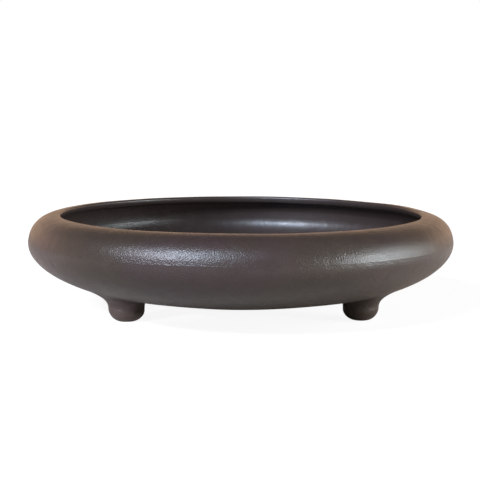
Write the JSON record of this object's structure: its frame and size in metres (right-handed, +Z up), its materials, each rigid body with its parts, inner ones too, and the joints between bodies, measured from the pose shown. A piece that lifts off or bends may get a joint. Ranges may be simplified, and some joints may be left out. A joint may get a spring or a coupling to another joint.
{
  "type": "bonsai pot",
  "caption": "Shallow round bonsai pot in unglazed dark stoneware: a full belly that rolls in to a rounded lip, a drained floor and stubby rounded feet.",
  "frame": {"origin": "on the ground, under the middle of the pot", "axes": "+Z up along the pot's turning axis; -Y is the front, between two of the feet, and the third foot is on +Y"},
  "size_m": [0.3, 0.3, 0.0691],
  "materials": {
    "stoneware": "unglazed, satin, fine sandy grain"
  },
  "bodies": {
    "root": {"floor_slab": "stoneware", "lower_wall": "stoneware", "shoulder": "stoneware", "lip_coil": "stoneware", "front_left_foot": "stoneware", "front_right_foot": "stoneware", "rear_foot": "stoneware", "front_left_foot_collar": "stoneware", "front_right_foot_collar": "stoneware", "rear_foot_collar": "stoneware"}
  },
  "joints": []
}
